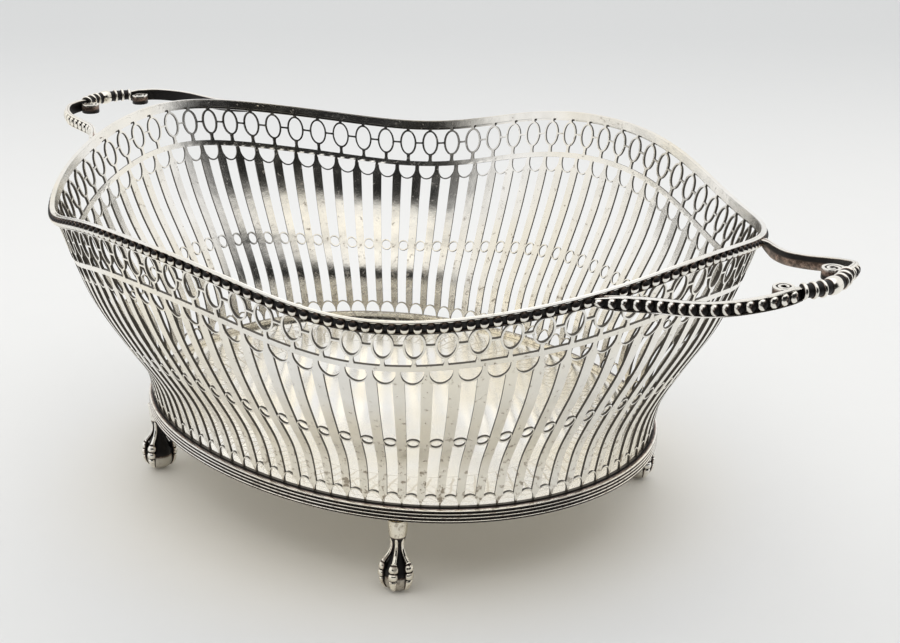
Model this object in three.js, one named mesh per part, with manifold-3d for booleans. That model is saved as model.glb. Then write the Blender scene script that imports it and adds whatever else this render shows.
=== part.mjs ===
// Silver bread basket: a pierced oval bowl on four claw feet, with a gallery of oval rings,
// a beaded rim and a fixed bow handle at each end.
// Millimetres, +Z up, +X towards the right handle, origin on the table under the middle.

import * as THREE from 'three';
import Module from 'manifold-3d';
import { mergeVertices } from 'three/addons/utils/BufferGeometryUtils.js';

const wasm = await Module();
wasm.setup();

// Clearance between soldered pieces, and the thickness of the raised sheet
const clearance = 0.3;
const sheet = 1.0;

// The bowl at its rim, and what it stands on
const rimHalfLength = 108.9;
const rimHalfWidth = 96.8;
const wallHeight = 66.4;
const standHeight = 21.3;
const ringHeight = 4.0;
const footLevel = standHeight + ringHeight + clearance;

// The bowl's oval levels from its foot up, as shares of the rim's sizes. square fills an oval
// out between its axes, wave lifts the ends and the middles of the sides, endRise lifts the
// ends alone, and crest is how much of the rim's finer wave there is.
const levelShares = [
  [0, 0.7346, 0.7128, 0.0165, 0.0289, 0, 0, 0],
  [0.1988, 0.7649, 0.7479, 0.0202, 0.0186, 0.0151, 0, 0],
  [0.369, 0.8237, 0.8182, 0.0248, 0.0103, 0.0422, 0, 0.1],
  [0.5828, 0.9045, 0.9039, 0.0331, 0.0103, 0.0648, 0.0045, 0.5],
  [0.7892, 0.9559, 0.9597, 0.0404, 0.0103, 0.0798, 0.0075, 0.9],
  [1, 1, 1, 0.0349, 0.0196, 0.0798, 0.009, 1],
];
const levels = levelShares.map(([rise, length, width, squareX, squareY, wave, endRise, crest]) => ({
  rise: rise * wallHeight,
  halfLength: length * rimHalfLength,
  halfWidth: width * rimHalfWidth,
  squareX: squareX * rimHalfLength,
  squareY: squareY * rimHalfWidth,
  wave: wave * wallHeight,
  endRise: endRise * wallHeight,
  crest: crest * wallHeight,
}));
// The finer wave round the rim: how often it goes round, and its share of the wall's height
const crestWaves = [[0, 0.0111], [2, -0.0057], [4, -0.0039], [6, -0.003], [8, -0.0015], [10, 0.0047]];
const middleRow = levels[2].rise;
const bandRise = levels[4].rise;
const rimRise = levels[5].rise;

// Slatted wall: widths are shares of one column, heights run along the wall
const slatColumns = 92;
const slotShare = 0.57;
const scallopShare = 0.84;
const scallopDepth = 4.2;
const scallopArc = 0.5;
const wallRail = 0.7;
const middleBand = 3.3;
const footRail = 1.2;

// Gallery of oval rings between two rails, each ring on a short post above and below
const ovalColumns = 84;
const ovalWidth = 4.1;
const ovalHeight = 7.5;
const ovalWire = 0.55;
const postWidth = 0.6;
const linkHeight = 0.5;
const galleryRail = 0.7;
const galleryTop = 2.2;

// Beaded border outside the gallery's top rail
const borderHeight = 2.8;
const borderDepth = 1.3;

// Reeded base ring and the plate inside it
const ringSegments = 46;
const reedCount = 4;
const reedDepth = 0.5;
const ringInside = 1.0;
const ringOutside = 1.9;
const plateThickness = 1.0;
const plateDrop = 1.2;

// Feet, each square to the base oval, with three talons in front and one behind
const footAngle = THREE.MathUtils.degToRad(45.9);
const footInset = 0.41;
const ballRadius = 4.1;
const ballSink = 0.25;
const legTop = 2.6;
const legWaist = 1.9;
const legSides = 7;
const cupHeight = 2.2;
const cupRadius = 3.4;
const cupDrop = 1.8;
const talonThickness = 1.5;
const talonTurns = [-60, 0, 60, 180];
const talonRings = [[20, 1], [52, 1], [88, 0.8], [122, 0.4]];

// Handles. bowPlan runs from the rim to the grip: the place along the handle, and the width
// there, 1 at the rim's width, 0 at the waist's and -1 at the grip's.
const rootAngle = THREE.MathUtils.degToRad(18);
const rootRise = 0.65;
const handleLength = 38.6;
const bowHeight = 3.8;
const bowThickness = 1.4;
const bowWaist = 25.5;
const bowPlan = [
  [0, 1], [0.13, 0.5], [0.27, 0.16], [0.45, 0], [0.64, -0.07], [0.8, -0.24], [0.93, -0.51],
  [0.98, -0.78], [1, -1],
];
const bowSteps = 15;
const gripLength = 18.4;
const gripRadius = 2.4;
const gripBow = 2.6;
const gripRise = 0.9;
const gripTaper = 0.06;
const gripGroove = 0.8;
const gripRibs = 7;
const gripSides = 7;
const scrollRadius = 2.7;
const scrollThickness = 1.1;
const scrollInset = 1.3;
const scrollDrop = 0.9;
const scrollTurns = 1.25;
const rightLift = 6.7;
const leftLift = 0.9;

const silver = new THREE.Color(0.86, 0.84, 0.8);
const darkSilver = new THREE.Color(0.55, 0.52, 0.48);

function metal(name, color, roughness) {
  return new THREE.MeshStandardMaterial({ name, color, roughness, metalness: 1 });
}

// The oval at a height between two levels, as a smooth curve through all of them
function ovalAt(rise) {
  const last = levels.length - 1;
  let lower = 0;
  while (lower < last - 1 && rise > levels[lower + 1].rise) {
    lower += 1;
  }
  const a = levels[lower];
  const b = levels[lower + 1];
  const before = levels[Math.max(lower - 1, 0)];
  const after = levels[Math.min(lower + 2, last)];
  const span = b.rise - a.rise;
  const s = (rise - a.rise) / span;
  const oval = {};
  for (const key of Object.keys(a)) {
    const slopeA = (b[key] - before[key]) / (b.rise - before.rise);
    const slopeB = (after[key] - a[key]) / (after.rise - a.rise);
    oval[key] = a[key] * (1 + 2 * s) * (1 - s) ** 2 + b[key] * s * s * (3 - 2 * s)
      + span * (slopeA * s * (1 - s) ** 2 - slopeB * s * s * (1 - s));
  }
  return oval;
}

// A point of the sheet's middle surface
function sheetPoint(angle, rise) {
  const oval = ovalAt(rise);
  let crest = 0;
  for (const [times, share] of crestWaves) {
    crest += share * Math.cos(times * angle);
  }
  return new THREE.Vector3(
    oval.halfLength * Math.cos(angle) + oval.squareX * Math.cos(3 * angle),
    oval.halfWidth * Math.sin(angle) + oval.squareY * Math.sin(3 * angle),
    footLevel + rise + oval.wave * Math.cos(4 * angle) + oval.endRise * Math.cos(2 * angle)
      + oval.crest * crest,
  );
}

// The same point moved outwards along the sheet's normal
function wallPoint(angle, rise, depth) {
  const step = 0.001;
  const along = sheetPoint(angle + step, rise).sub(sheetPoint(angle - step, rise));
  const up = sheetPoint(angle, rise + step).sub(sheetPoint(angle, rise - step));
  const normal = along.cross(up).normalize();
  return sheetPoint(angle, rise).addScaledVector(normal, depth);
}

function meshGeometry(points, triangles) {
  const geometry = new THREE.BufferGeometry();
  const numbers = points.flatMap((point) => point.toArray());
  geometry.setAttribute('position', new THREE.Float32BufferAttribute(numbers, 3));
  geometry.setIndex(triangles.flat());
  return geometry;
}

// Openwork sheet: each patch is a small polygon on the unrolled wall, in columns and millimetres
// of rise, listed anticlockwise from the corner that its triangles share. Every column has the
// same patches, and edges that no second patch shares become the sides of the openings.
function piercedSheet(columns, patches) {
  const outside = [];
  const inside = [];
  const triangles = [];
  const indexOf = new Map();
  const steps = 10000;
  const place = (column, [across, rise]) => {
    const turn = Math.round((column + across) * steps + columns * steps) % (columns * steps);
    const key = `${turn} ${rise.toFixed(4)}`;
    if (!indexOf.has(key)) {
      const angle = turn / steps / columns * 2 * Math.PI;
      indexOf.set(key, outside.length);
      outside.push(wallPoint(angle, rise, sheet / 2));
      inside.push(wallPoint(angle, rise, -sheet / 2));
    }
    return indexOf.get(key);
  };
  for (let column = 0; column < columns; column += 1) {
    for (const patch of patches) {
      const corners = patch.map((corner) => place(column, corner));
      for (let i = 1; i < corners.length - 1; i += 1) {
        triangles.push([corners[0], corners[i], corners[i + 1]]);
      }
    }
  }
  const shift = outside.length;
  const edges = new Set(triangles.flatMap(([a, b, c]) => [`${a} ${b}`, `${b} ${c}`, `${c} ${a}`]));
  const sides = [];
  for (const edge of edges) {
    const [a, b] = edge.split(' ').map(Number);
    if (!edges.has(`${b} ${a}`)) {
      sides.push([b, a, a + shift], [b, a + shift, b + shift]);
    }
  }
  const backs = triangles.map(([a, b, c]) => [c + shift, b + shift, a + shift]);
  return meshGeometry([...outside, ...inside], [...triangles, ...backs, ...sides]);
}

function mirrored(patch) {
  const [first, ...rest] = patch.map(([across, rise]) => [-across, rise]);
  return [first, ...rest.reverse()];
}

function slattedWall() {
  const slot = slotShare / 2;
  const scallop = scallopShare / 2;
  const lobe = scallop * 0.8;
  const top = bandRise - clearance / 2;
  const railUnder = top - wallRail;
  const scallopLow = railUnder - scallopDepth * 0.62;
  const scallopBottom = railUnder - scallopDepth;
  const slotTop = scallopBottom - scallopArc;
  const slotBottom = middleRow + middleBand / 2;
  const lowerTop = middleRow - middleBand / 2;
  const lowerBottom = footRail;
  const lowerBend = (lowerTop + lowerBottom) / 2;
  const slat = [
    [slot, lowerBottom], [slot, lowerBend], [slot, lowerTop], [slot, slotBottom],
    [slot, slotTop], [lobe, scallopLow], [scallop, railUnder],
  ];
  const slatPatches = slat.slice(1).map(([across, rise], i) => {
    const [acrossUnder, riseUnder] = slat[i];
    return [[acrossUnder, riseUnder], [1 - acrossUnder, riseUnder], [1 - across, rise], [across, rise]];
  });
  return piercedSheet(slatColumns, [
    ...slatPatches,
    [[-0.5, 0], [0.5, 0], [slot, lowerBottom], [-slot, lowerBottom]],
    [[0.5, 0], [1 - slot, lowerBottom], [slot, lowerBottom]],
    [[-slot, lowerTop], [slot, lowerTop], [slot, slotBottom], [-slot, slotBottom]],
    [[0, scallopBottom], [-lobe, scallopLow], [-slot, slotTop], [slot, slotTop], [lobe, scallopLow]],
    [[-scallop, railUnder], [scallop, railUnder], [0.5, top], [-0.5, top]],
    [[scallop, railUnder], [1 - scallop, railUnder], [0.5, top]],
  ]);
}

function gallery() {
  const around = 2 * Math.PI * (levels[5].halfLength + levels[5].halfWidth) / 2;
  const column = around / ovalColumns;
  const bottom = bandRise + clearance / 2;
  const railTop = bottom + galleryRail;
  const railUnder = rimRise - galleryTop;
  const centre = (railTop + railUnder) / 2;
  const half = ovalHeight / 2;
  const post = postWidth / 2 / column;
  const hole = ovalWidth / 2 / column;
  const outer = hole + ovalWire * 1.8 / column;
  const shoulderAcross = hole - ovalWire * 0.1 / column;
  const shoulderRise = half - ovalWire * 0.8;
  const link = linkHeight / 2;
  const above = [
    [[outer, centre + link], [shoulderAcross, centre + shoulderRise], [hole, centre + half / 2]],
    [[shoulderAcross, centre + shoulderRise], [0, centre + half], [hole, centre + half / 2]],
    [[shoulderAcross, centre + shoulderRise], [post, railUnder], [0, centre + half]],
  ];
  const below = [
    [[hole, centre - half / 2], [shoulderAcross, centre - shoulderRise], [outer, centre - link]],
    [[hole, centre - half / 2], [0, centre - half], [shoulderAcross, centre - shoulderRise]],
    [[0, centre - half], [post, railTop], [shoulderAcross, centre - shoulderRise]],
  ];
  const flank = [
    [hole, centre - half / 2], [outer, centre - link], [outer, centre + link], [hole, centre + half / 2],
  ];
  const rightHalf = [...above, ...below, flank];
  return piercedSheet(ovalColumns, [
    ...rightHalf,
    ...rightHalf.map(mirrored),
    [[outer, centre - link], [1 - outer, centre - link], [1 - outer, centre + link], [outer, centre + link]],
    [[0, centre - half], [-post, railTop], [post, railTop]],
    [[0, centre + half], [post, railUnder], [-post, railUnder]],
    [[0, bottom], [1, bottom], [1 - post, railTop], [post, railTop]],
    [[0, bottom], [post, railTop], [-post, railTop]],
    [[post, railUnder], [1 - post, railUnder], [1, rimRise], [0, rimRise]],
    [[0, rimRise], [-post, railUnder], [post, railUnder]],
  ]);
}

// Skin over rings of points, each ring as long as the last; open lofts get flat ends
function loft(rings, closed) {
  const size = rings[0].length;
  const points = rings.flat();
  const triangles = [];
  const last = closed ? rings.length : rings.length - 1;
  for (let i = 0; i < last; i += 1) {
    const next = (i + 1) % rings.length;
    for (let j = 0; j < size; j += 1) {
      const k = (j + 1) % size;
      triangles.push([i * size + j, i * size + k, next * size + k]);
      triangles.push([i * size + j, next * size + k, next * size + j]);
    }
  }
  if (!closed) {
    const end = (rings.length - 1) * size;
    for (let j = 1; j < size - 1; j += 1) {
      triangles.push([0, j + 1, j], [end, end + j, end + j + 1]);
    }
  }
  const volume = triangles.reduce((sum, [a, b, c]) => (
    sum + points[a].dot(new THREE.Vector3().crossVectors(points[b], points[c]))
  ), 0);
  return meshGeometry(points, volume > 0 ? triangles : triangles.map(([a, b, c]) => [a, c, b]));
}

function beadBorder() {
  const rings = [];
  const inner = sheet / 2 + clearance;
  const outer = inner + borderDepth;
  const low = rimRise - borderHeight;
  for (let i = 0; i < ovalColumns; i += 1) {
    const angle = i / ovalColumns * 2 * Math.PI;
    rings.push([
      wallPoint(angle, low, inner),
      wallPoint(angle, low + borderHeight / 4, outer),
      wallPoint(angle, rimRise - borderHeight / 4, outer),
      wallPoint(angle, rimRise, inner),
    ]);
  }
  return loft(rings, true);
}

// A point of the base, moved outwards level from the foot oval
function basePoint(angle, out, height) {
  const point = sheetPoint(angle, 0);
  const ahead = sheetPoint(angle + 0.001, 0).sub(point);
  const outwards = new THREE.Vector3(ahead.y, -ahead.x, 0).normalize();
  return point.addScaledVector(outwards, out).setZ(height);
}

function baseRing() {
  const top = standHeight + ringHeight;
  const reed = ringHeight / reedCount;
  const face = [];
  for (let i = 0; i < reedCount; i += 1) {
    face.push([ringOutside, standHeight + reed * (i + 0.5)]);
    if (i < reedCount - 1) {
      face.push([ringOutside - reedDepth, standHeight + reed * (i + 1)]);
    }
  }
  const profile = [[-ringInside, standHeight], ...face, [-ringInside, top]];
  const rings = [];
  for (let i = 0; i < ringSegments; i += 1) {
    const angle = i / ringSegments * 2 * Math.PI;
    rings.push(profile.map(([out, height]) => basePoint(angle, out, height)));
  }
  return loft(rings, true);
}

function bottomPlate() {
  const top = standHeight + ringHeight - plateDrop;
  const edge = -ringInside - clearance;
  const rings = [top - plateThickness, top].map((height) => {
    const ring = [];
    for (let i = 0; i < ringSegments; i += 1) {
      ring.push(basePoint(i / ringSegments * 2 * Math.PI, edge, height));
    }
    return ring;
  });
  return loft(rings, false);
}

function toManifold(geometry) {
  geometry.deleteAttribute('normal');
  geometry.deleteAttribute('uv');
  const merged = mergeVertices(geometry, 1e-4);
  const vertProperties = new Float32Array(merged.attributes.position.array);
  const triVerts = new Uint32Array(merged.index.array);
  return new wasm.Manifold(new wasm.Mesh({ numProp: 3, vertProperties, triVerts }));
}

function fromManifold(solid) {
  const mesh = solid.getMesh();
  const geometry = new THREE.BufferGeometry();
  geometry.setAttribute('position', new THREE.Float32BufferAttribute(mesh.vertProperties, 3));
  geometry.setIndex([...mesh.triVerts]);
  return geometry;
}

function roundRing(radius, height) {
  const ring = [];
  for (let i = 0; i < legSides; i += 1) {
    const turn = i / legSides * 2 * Math.PI;
    ring.push(new THREE.Vector3(radius * Math.cos(turn), radius * Math.sin(turn), height));
  }
  return ring;
}

// Leg that widens into a cup over the ball, with talons that reach down round it
function clawLeg() {
  const centre = ballRadius - ballSink;
  const top = standHeight - clearance;
  const cup = centre + ballRadius;
  const neck = cup + cupHeight;
  const legRings = [
    [legTop, top],
    [legTop * 0.9, (top * 3 + neck) / 4],
    [legWaist, (top + neck * 2) / 3],
    [(legWaist + cupRadius) / 2, neck],
    [cupRadius, cup],
    [cupRadius, cup - cupDrop],
  ];
  let solid = toManifold(loft(legRings.map(([radius, height]) => roundRing(radius, height)), false));
  const reach = ballRadius + clearance + talonThickness * 0.3;
  for (const degreesRound of talonTurns) {
    const turn = THREE.MathUtils.degToRad(degreesRound);
    const outwards = new THREE.Vector3(Math.cos(turn), Math.sin(turn), 0);
    const across = new THREE.Vector3(-Math.sin(turn), Math.cos(turn), 0);
    const rings = talonRings.map(([degrees, share]) => {
      const polar = THREE.MathUtils.degToRad(degrees);
      const ray = outwards.clone().multiplyScalar(Math.sin(polar)).setZ(Math.cos(polar));
      const half = talonThickness / 2 * share;
      const middle = ray.clone().multiplyScalar(reach).add(new THREE.Vector3(0, 0, centre));
      return [[-1, -1], [1, -1], [1, 1], [-1, 1]].map(([a, b]) => (
        middle.clone().addScaledVector(across, a * half).addScaledVector(ray, b * half)
      ));
    });
    solid = solid.add(toManifold(loft(rings, false)));
  }
  const hollow = new THREE.SphereGeometry(ballRadius + clearance, 10, 6);
  hollow.rotateX(Math.PI / 2);
  hollow.translate(0, 0, centre);
  return fromManifold(solid.subtract(toManifold(hollow)));
}

// The ball, cut flat where it stands
function footBall() {
  const profile = [];
  const steps = 6;
  const flat = Math.acos((ballRadius - ballSink) / ballRadius);
  for (let i = 0; i <= steps; i += 1) {
    const polar = THREE.MathUtils.lerp(flat, Math.PI, i / steps);
    const height = ballRadius - ballSink - ballRadius * Math.cos(polar);
    profile.push(new THREE.Vector2(ballRadius * Math.sin(polar), height));
  }
  profile[steps].x = 0;
  const ball = new THREE.LatheGeometry([new THREE.Vector2(0, 0), ...profile], 10);
  return ball.rotateX(Math.PI / 2);
}

// Top middle line of one bow arm, from the rim to the grip, for the right handle's back arm
function bowCurve(lift) {
  const start = sheet / 2 + clearance * 2 + borderDepth + bowThickness / 2;
  const root = wallPoint(rootAngle, rimRise, start).add(new THREE.Vector3(0, 0, rootRise));
  const gripEnd = gripLength / 2 + clearance;
  return new THREE.CatmullRomCurve3(bowPlan.map(([along, width]) => {
    const half = bowWaist + (width > 0 ? width * (root.y - bowWaist) : width * (bowWaist - gripEnd));
    return new THREE.Vector3(root.x + handleLength * along, half, root.z + lift * along ** 2);
  }));
}

function bowArm(lift, mirror) {
  const curve = bowCurve(lift);
  const rings = curve.getSpacedPoints(bowSteps).map((point, i, all) => {
    const ahead = all[Math.min(i + 1, all.length - 1)];
    const behind = all[Math.max(i - 1, 0)];
    const across = new THREE.Vector3(ahead.y - behind.y, behind.x - ahead.x, 0).normalize();
    const half = bowThickness / 2;
    return [[-half, 0], [half, 0], [half, bowHeight], [-half, bowHeight]].map(([out, down]) => {
      const corner = point.clone().addScaledVector(across, out);
      return new THREE.Vector3(corner.x, corner.y * mirror, corner.z - down);
    });
  });
  return loft(rings, false);
}

// Ribbed bar between the arms' ends, bowed outwards
function grip(lift) {
  const end = bowCurve(lift).getPoint(1);
  const rings = [];
  const steps = gripRibs * 2;
  for (let i = 0; i <= steps; i += 1) {
    const along = THREE.MathUtils.lerp(-gripLength / 2, gripLength / 2, i / steps);
    const fall = (2 * along / gripLength) ** 2;
    const radius = gripRadius * (1 - gripTaper * fall) * (i % 2 ? 1 : gripGroove);
    const ring = [];
    for (let j = 0; j < gripSides; j += 1) {
      const turn = j / gripSides * 2 * Math.PI;
      ring.push(new THREE.Vector3(
        end.x + gripBow * (1 - fall) + radius * Math.cos(turn),
        along,
        end.z - bowHeight / 2 + gripRise + radius * Math.sin(turn),
      ));
    }
    rings.push(ring);
  }
  return loft(rings, false);
}

// Flat scroll rolled up inside the corner between an arm and the grip, seated on the arm
function scroll(lift, mirror) {
  const curve = bowCurve(lift);
  const along = 1 - scrollInset / curve.getLength();
  const seat = curve.getPointAt(along);
  const tangent = curve.getTangentAt(along);
  const outwards = new THREE.Vector3(-tangent.y, tangent.x, 0).normalize();
  const ahead = new THREE.Vector3(tangent.x, tangent.y, 0).normalize();
  const outerRadius = scrollRadius + scrollThickness / 2;
  const centre = seat.clone().addScaledVector(outwards, -(bowThickness / 2 + clearance + outerRadius));
  const rings = [];
  const steps = 14;
  for (let i = 0; i <= steps; i += 1) {
    const turn = i / steps * scrollTurns * 2 * Math.PI;
    const radius = THREE.MathUtils.lerp(scrollRadius, scrollThickness * 0.5, i / steps);
    const half = scrollThickness / 2 * THREE.MathUtils.lerp(1, 0.5, i / steps);
    const ray = outwards.clone().multiplyScalar(Math.cos(turn)).addScaledVector(ahead, -Math.sin(turn));
    const profile = [[half, scrollDrop], [-half, scrollDrop], [-half, bowHeight], [half, bowHeight]];
    rings.push(profile.map(([out, down]) => {
      const corner = centre.clone().addScaledVector(ray, radius + out);
      return new THREE.Vector3(corner.x, corner.y * mirror, seat.z - down);
    }));
  }
  return loft(rings, false);
}

const basket = new THREE.Group();

function addPiece(name, geometry, material, parent) {
  const mesh = new THREE.Mesh(geometry, material);
  mesh.name = name;
  parent.add(mesh);
  return mesh;
}

addPiece('slatted_wall', slattedWall(), metal('pierced silver', silver, 0.22), basket);
addPiece('gallery', gallery(), metal('gallery silver', silver, 0.22), basket);
addPiece('bead_border', beadBorder(), metal('border silver', darkSilver, 0.3), basket);
addPiece('base_ring', baseRing(), metal('ring silver', darkSilver, 0.3), basket);
addPiece('bottom_plate', bottomPlate(), metal('plate silver', silver, 0.15), basket);

for (const [side, x, lift] of [['right', 1, rightLift], ['left', -1, leftLift]]) {
  for (const [end, y] of [['front', -1], ['back', 1]]) {
    const angle = Math.atan2(y * Math.sin(footAngle), x * Math.cos(footAngle));
    const seat = basePoint(angle, -footInset, 0);
    const outwards = basePoint(angle, ringOutside, 0).sub(seat);
    const foot = new THREE.Group();
    foot.position.copy(seat);
    foot.rotation.z = Math.atan2(outwards.y, outwards.x);
    addPiece(`claw_leg_${side}_${end}`, clawLeg(), metal('claw silver', darkSilver, 0.35), foot);
    addPiece(`ball_${side}_${end}`, footBall(), metal('ball silver', silver, 0.2), foot);
    basket.add(foot);
  }
  const handle = new THREE.Group();
  handle.rotation.z = x > 0 ? 0 : Math.PI;
  for (const [end, mirror] of [['front', -x], ['back', x]]) {
    addPiece(`arm_${side}_${end}`, bowArm(lift, mirror), metal('bow silver', darkSilver, 0.3), handle);
    addPiece(`scroll_${side}_${end}`, scroll(lift, mirror), metal('scroll silver', silver, 0.25), handle);
  }
  addPiece(`grip_${side}`, grip(lift), metal('grip silver', silver, 0.25), handle);
  basket.add(handle);
}

export default basket;
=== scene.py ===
import math
import bmesh
import bpy
import numpy as np
from mathutils import Matrix


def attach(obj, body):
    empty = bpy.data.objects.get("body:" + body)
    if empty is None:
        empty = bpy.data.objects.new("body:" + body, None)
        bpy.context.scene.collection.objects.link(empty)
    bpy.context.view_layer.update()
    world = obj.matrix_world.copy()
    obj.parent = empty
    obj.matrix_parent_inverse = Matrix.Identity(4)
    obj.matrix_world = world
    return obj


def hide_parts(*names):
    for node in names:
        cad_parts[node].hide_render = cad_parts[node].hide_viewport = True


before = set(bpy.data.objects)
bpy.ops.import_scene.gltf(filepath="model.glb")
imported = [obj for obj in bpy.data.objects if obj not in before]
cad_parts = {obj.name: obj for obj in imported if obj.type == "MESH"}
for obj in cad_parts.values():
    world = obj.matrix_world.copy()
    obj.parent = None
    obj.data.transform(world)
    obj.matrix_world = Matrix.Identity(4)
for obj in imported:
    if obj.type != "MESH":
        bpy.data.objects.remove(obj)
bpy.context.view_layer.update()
print("frame loaded")

fullTurn = 2 * math.pi
millimetre = 0.001
weldDistance = 0.002 * millimetre


def spread(*values):
    return np.broadcast_arrays(*(np.asarray(v, float) for v in values))


def onceRound(count):
    # Angles that divide a full turn evenly
    return np.linspace(0, fullTurn, count, endpoint=False)


def cubic(a, b, slopeA, slopeB, s):
    # From a to b while s goes from 0 to 1, with a slope given at either end
    line = a * (1 + 2 * s) * (1 - s) ** 2 + b * s * s * (3 - 2 * s)
    return line + slopeA * s * (1 - s) ** 2 - slopeB * s * s * (1 - s)


# Mesh making: every piece is a list of parts, and a part is points, quads and corner values

def gridQuads(rows, columns, closeRows=False, closeColumns=False):
    # Corner numbers of the quads of a grid whose points are numbered row by row
    i = np.arange(rows if closeRows else rows - 1)[:, None]
    j = np.arange(columns if closeColumns else columns - 1)[None]
    nextI = (i + 1) % rows
    nextJ = (j + 1) % columns
    corners = [i * columns + j, i * columns + nextJ, nextI * columns + nextJ, nextI * columns + j]
    return np.stack(corners, -1).reshape(-1, 4)


def makePart(points, quads, shade=0.0, uv=None):
    # shade is one number, one per point, one per quad, or one per corner
    points = np.asarray(points, float).reshape(-1, 3)
    quads = np.asarray(quads)
    shade = np.asarray(shade, float)
    if shade.ndim == 1 and len(shade) == len(quads) and len(shade) != len(points):
        shade = np.repeat(shade[:, None], 4, 1)
    elif shade.ndim == 1:
        shade = shade[quads]
    shade = np.broadcast_to(shade, quads.shape)
    uv = np.zeros((len(quads), 4, 2)) if uv is None else uv.reshape(-1, 2)[quads]
    a, b, c, d = (points[quads[:, k]] for k in range(4))
    volume = np.einsum("ij,ij", a, np.cross(b, c)) + np.einsum("ij,ij", a, np.cross(c, d))
    if volume < 0:  # the faces of a closed part point outwards
        quads, shade, uv = quads[:, ::-1], shade[:, ::-1], uv[:, ::-1]
    return points, quads, shade, uv


def tiles(grid, shade=0.0, closeRows=False, closeColumns=False):
    # grid is count x rows x columns x 3: the same small surface made many times over
    count, rows, columns = grid.shape[:3]
    quads = gridQuads(rows, columns, closeRows, closeColumns)
    steps = np.arange(count)[:, None, None] * rows * columns
    everyQuad = (quads[None] + steps).reshape(-1, 4)
    if np.ndim(shade) == 2 and np.shape(shade) == (rows, columns):  # one value per point of a tile
        return makePart(grid, everyQuad, np.tile(np.ravel(shade), count))
    if np.ndim(shade) == 1:  # one value per quad of a row, the same in all rows
        perQuad = np.tile(shade, len(quads) // len(shade) * count)
        return makePart(grid, everyQuad, np.repeat(perQuad[:, None], 4, 1))
    return makePart(grid, everyQuad, shade)


def capped(grid):
    # Both ends of a row of rings drawn together into their middles
    first = np.broadcast_to(grid[..., :1, :, :].mean(-2, keepdims=True), grid[..., :1, :, :].shape)
    last = np.broadcast_to(grid[..., -1:, :, :].mean(-2, keepdims=True), grid[..., -1:, :, :].shape)
    return np.concatenate([first, grid, last], -3)


def tube(grid, shade):
    # Rows of rings closed at both ends, with one value per point of a row
    return tiles(capped(grid), np.pad(shade, ((1, 1), (0, 0)), "edge"), closeColumns=True)


def makePiece(name, parts, material, nodes, sharp=38):
    # One welded mesh from parts in millimetres, smooth but for its edges over sharp degrees
    starts = np.cumsum([0] + [len(p[0]) for p in parts])[:-1]
    points = np.concatenate([p[0] for p in parts]) * millimetre
    quads = np.concatenate([p[1] + start for p, start in zip(parts, starts)])
    mesh = bpy.data.meshes.new(name)
    mesh.vertices.add(len(points))
    mesh.vertices.foreach_set("co", points.astype(np.float32).ravel())
    mesh.loops.add(quads.size)
    mesh.loops.foreach_set("vertex_index", quads.astype(np.int32).ravel())
    mesh.polygons.add(len(quads))
    mesh.polygons.foreach_set("loop_start", np.arange(len(quads), dtype=np.int32) * 4)
    # corner values that darken the silver: real tarnish and oxide, and painted shade
    tarnishAndPaintedShade = mesh.attributes.new("tarnishAndPaintedShade", "FLOAT", "CORNER")
    tarnishAndPaintedShade.data.foreach_set("value", np.concatenate([p[2] for p in parts]).astype(np.float32).ravel())
    layout = mesh.uv_layers.new(name="layout")
    layout.data.foreach_set("uv", np.concatenate([p[3] for p in parts]).astype(np.float32).ravel())
    mesh.update(calc_edges=True)
    welded = bmesh.new()
    welded.from_mesh(mesh)
    bmesh.ops.remove_doubles(welded, verts=welded.verts, dist=weldDistance)
    welded.to_mesh(mesh)
    welded.free()
    mesh.shade_smooth()
    mesh.set_sharp_from_angle(angle=math.radians(sharp))
    piece = bpy.data.objects.new(name, mesh)
    bpy.context.scene.collection.objects.link(piece)
    mesh.materials.append(material)
    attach(piece, "root")
    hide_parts(*nodes)
    return piece


# Shader maths

class Flow:
    # One socket of a shader, so that values can be written as sums and products
    def __init__(self, tree, socket=None):
        self.tree = tree
        self.socket = socket

    def node(self, kind, settings=None, sockets=None, out=0):
        made = self.tree.nodes.new("ShaderNode" + kind)
        for name, value in (settings or {}).items():
            setattr(made, name, value)
        for name, value in (sockets or {}).items():
            if isinstance(value, Flow):
                self.tree.links.new(value.socket, made.inputs[name])
            else:
                made.inputs[name].default_value = value
        return Flow(self.tree, made.outputs[out] if len(made.outputs) else None)

    def maths(self, operation, first, second):
        return self.node("Math", {"operation": operation}, {0: first, 1: second})

    def __add__(self, other):
        return self.maths("ADD", self, other)

    def __radd__(self, other):
        return self.maths("ADD", other, self)

    def __sub__(self, other):
        return self.maths("SUBTRACT", self, other)

    def __rsub__(self, other):
        return self.maths("SUBTRACT", other, self)

    def __mul__(self, other):
        return self.maths("MULTIPLY", self, other)

    def __rmul__(self, other):
        return self.maths("MULTIPLY", other, self)

    def __truediv__(self, other):
        return self.maths("DIVIDE", self, other)

    def between(self, low, high):
        # 0 below low, 1 above high, eased in between
        settings = {"interpolation_type": "SMOOTHSTEP"}
        return self.node("MapRange", settings, {"Value": self, "From Min": low, "From Max": high})

    def mixed(self, first, second):
        # A colour between two, by this value
        settings = {"data_type": "RGBA"}
        return self.node("Mix", settings, {0: self, 6: first, 7: second}, 2)


def color(r, g, b):
    return (r, g, b, 1.0)


def startMaterial(name):
    material = bpy.data.materials.new(name)
    material.use_nodes = True
    tree = material.node_tree
    tree.nodes.clear()
    return material, Flow(tree)


def finishMaterial(flow, sockets):
    shader = flow.node("BsdfPrincipled", None, sockets)
    flow.node("OutputMaterial", None, {"Surface": shader})


def noise(flow, place, scale, detail, roughness=0.5):
    sockets = {"Vector": place, "Scale": scale, "Detail": detail, "Roughness": roughness}
    return flow.node("TexNoise", None, sockets)


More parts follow.
